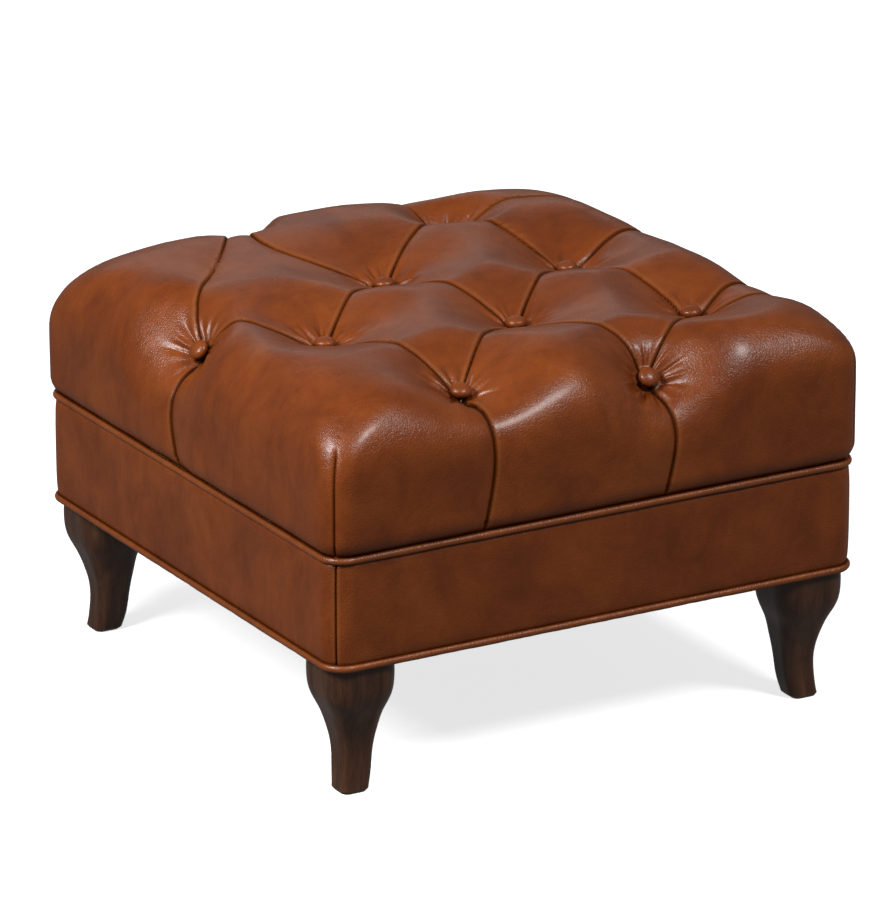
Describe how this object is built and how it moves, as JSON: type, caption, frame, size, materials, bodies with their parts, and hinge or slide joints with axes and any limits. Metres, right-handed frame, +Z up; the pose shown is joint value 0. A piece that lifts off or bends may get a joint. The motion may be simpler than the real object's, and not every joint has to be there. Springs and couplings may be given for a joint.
{
  "type": "tufted ottoman",
  "caption": "Square upholstered ottoman with a deep-buttoned domed cushion, a plain band between piped edges and short curved legs.",
  "frame": {"origin": "on the floor under the middle of the ottoman", "axes": "+Z up, -Y the front, -X the left side, sides of the square along X and Y"},
  "size_m": [0.624, 0.624, 0.422],
  "materials": {
    "leather": "semi-gloss, finely grained, cognac brown",
    "leg_wood": "dark walnut stain, satin lacquer",
    "frame_wood": "planed, unfinished",
    "plywood": "sanded",
    "steel": "zinc plated",
    "foam": "open-cell foam",
    "wadding": "polyester fibre",
    "cord": "twisted cotton",
    "card": "pressed card",
    "dust_cloth": "non-woven cloth"
  },
  "bodies": {
    "root": {"band_leather_back": "leather", "band_leather_front": "leather", "band_leather_left": "leather", "band_leather_right": "leather", "band_padding_back": "wadding", "band_padding_front": "wadding", "band_padding_left": "wadding", "band_padding_right": "wadding", "button_1": "leather", "button_10": "leather", "button_2": "leather", "button_3": "leather", "button_4": "leather", "button_5": "leather", "button_6": "leather", "button_7": "leather", "button_8": "leather", "button_9": "leather", "button_backs": "steel", "centre_stretcher": "frame_wood", "corner_block_back_left": "frame_wood", "corner_block_back_right": "frame_wood", "corner_block_front_left": "frame_wood", "corner_block_front_right": "frame_wood", "corner_block_screws": "steel", "cushion_cover": "leather", "cushion_foam": "foam", "cushion_wadding": "wadding", "deck_board": "plywood", "deck_screws": "steel", "dust_cover": "dust_cloth", "dust_cover_staples": "steel", "hanger_bolts": "steel", "leg_back_left": "leg_wood", "leg_back_right": "leg_wood", "leg_front_left": "leg_wood", "leg_front_right": "leg_wood", "lower_piping": "leather", "lower_piping_cord": "cord", "rail_back": "frame_wood", "rail_dowels": "frame_wood", "rail_front": "frame_wood", "rail_left": "frame_wood", "rail_right": "frame_wood", "stretcher_screws": "steel", "tack_strip": "card", "tee_nuts": "steel", "tufting_twines": "cord", "twine_toggles": "frame_wood", "upper_piping": "leather", "upper_piping_cord": "cord"}
  },
  "joints": []
}
